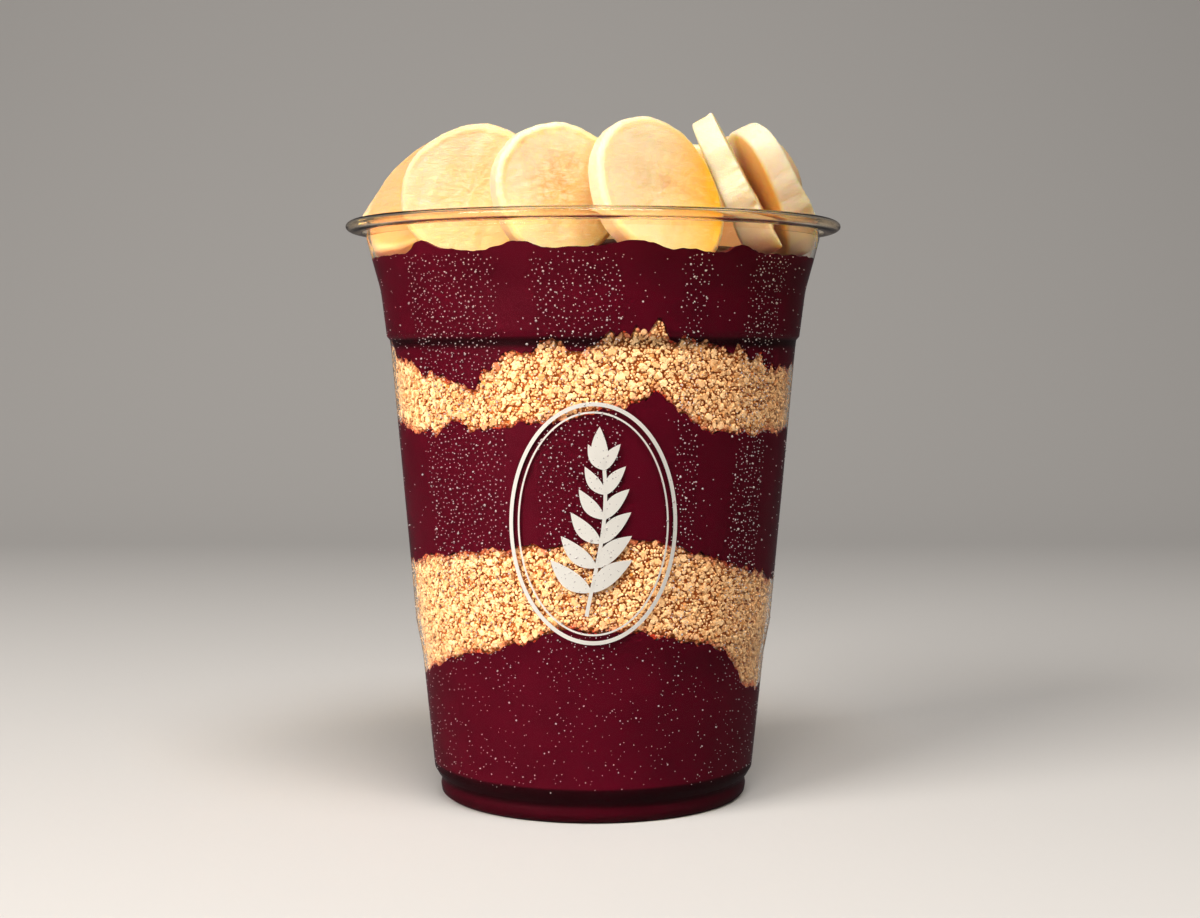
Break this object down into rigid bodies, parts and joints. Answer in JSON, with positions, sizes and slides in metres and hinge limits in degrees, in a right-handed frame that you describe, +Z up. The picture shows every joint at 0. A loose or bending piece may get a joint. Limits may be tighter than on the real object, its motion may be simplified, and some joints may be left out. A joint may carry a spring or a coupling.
{
  "type": "layered acai cup",
  "caption": "Clear plastic cup filled with layers of acai puree and ground crumb, topped with a standing ring of banana slices.",
  "frame": {"origin": "on the table, under the middle of the cup", "axes": "+Z up along the cup's axis, -Y towards the side that the picture shows"},
  "size_m": [0.098, 0.098, 0.1335],
  "materials": {
    "clear_plastic": "clear, smooth, thin thermoformed wall",
    "acai": "thick frozen fruit puree, soft gloss",
    "crumb": "dry ground crumb, rough",
    "banana": "moist cut fruit flesh",
    "print": "thin off-white ink printed on the cup",
    "water": "condensation droplets on the cup"
  },
  "bodies": {
    "root": {"cup": "clear_plastic", "acai_base": "acai", "crumb_lower": "crumb", "acai_middle": "acai", "crumb_upper": "crumb", "acai_top": "acai", "banana_slice_01": "banana", "banana_slice_02": "banana", "banana_slice_03": "banana", "banana_slice_04": "banana", "banana_slice_05": "banana", "banana_slice_06": "banana", "banana_slice_07": "banana", "banana_slice_08": "banana", "banana_slice_09": "banana", "banana_slice_10": "banana", "banana_slice_11": "banana", "banana_slice_12": "banana"}
  },
  "joints": []
}
